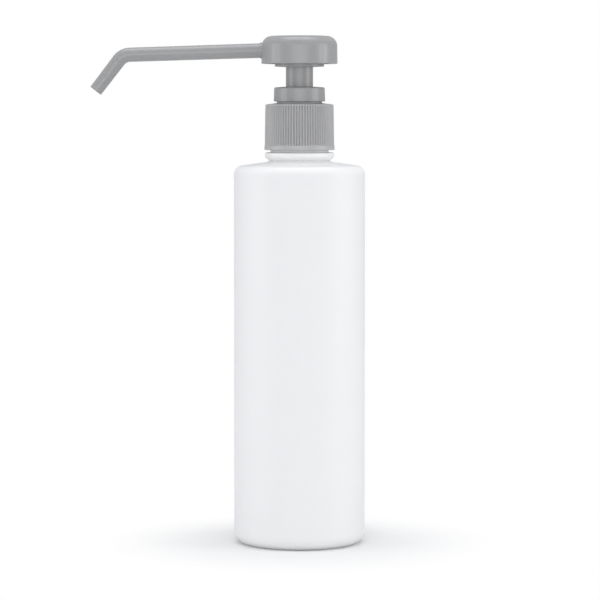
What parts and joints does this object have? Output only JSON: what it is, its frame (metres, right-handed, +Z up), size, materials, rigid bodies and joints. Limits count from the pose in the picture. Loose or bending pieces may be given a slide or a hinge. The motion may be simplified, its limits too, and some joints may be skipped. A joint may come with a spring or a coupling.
{
  "type": "pump bottle",
  "caption": "Tall round plastic bottle with a ribbed screw closure and a push-down lotion pump whose long bent nozzle swivels with its round head.",
  "frame": {"origin": "centre of the ring on which the bottle stands", "axes": "+Z up along the bottle's axis; the nozzle points along -X"},
  "size_m": [0.1314, 0.063, 0.2436],
  "materials": {
    "bottle_white": "satin blow-moulded polyethylene",
    "pump_grey": "satin injection-moulded polypropylene",
    "natural_plastic": "natural, slightly cloudy polypropylene",
    "gasket_white": "soft polyethylene",
    "spring_steel": "drawn stainless wire and polished ball"
  },
  "bodies": {
    "bottle": {"bottle": "bottle_white"},
    "pump_body": {"pump_housing": "natural_plastic", "chaplet": "pump_grey", "neck_gasket": "gasket_white", "stem_seal": "natural_plastic", "ball_retainer": "natural_plastic", "dip_tube": "natural_plastic"},
    "closure": {"closure": "pump_grey"},
    "valve_ball": {"suction_ball": "spring_steel"},
    "spring_turn": {"spring": "spring_steel"},
    "plunger": {"stem": "pump_grey", "plunger_rod": "natural_plastic", "head": "pump_grey", "nozzle": "pump_grey"},
    "piston": {"piston": "gasket_white"}
  },
  "joints": [
    {"name": "closure_turn", "type": "hinge", "parent": "pump_body", "child": "closure", "pos_m": [0, 0, 0.2], "axis": [0, 0, 1], "range_deg": [0, 540]},
    {"name": "pump_lift", "type": "slide", "parent": "bottle", "child": "pump_body", "axis": [0, 0, 1], "range_m": [0, 0.00635]},
    {"name": "valve_lift", "type": "slide", "parent": "pump_body", "child": "valve_ball", "axis": [0, 0, 1], "range_m": [0, 0.0016]},
    {"name": "head_swivel", "type": "hinge", "parent": "pump_body", "child": "spring_turn", "pos_m": [0, 0, 0.236], "axis": [0, 0, 1], "continuous": true},
    {"name": "pump_stroke", "type": "slide", "parent": "spring_turn", "child": "plunger", "axis": [0, 0, -1], "range_m": [0, 0.0094], "stiffness_N_per_m": 790, "springref_m": -0.014, "deforming": ["spring"]},
    {"name": "piston_play", "type": "slide", "parent": "plunger", "child": "piston", "axis": [0, 0, 1], "range_m": [0, 0.001]}
  ],
  "couplings": [
    {"joint": "pump_lift", "follows": "closure_turn", "m_per_rad": 0.00067323}
  ]
}
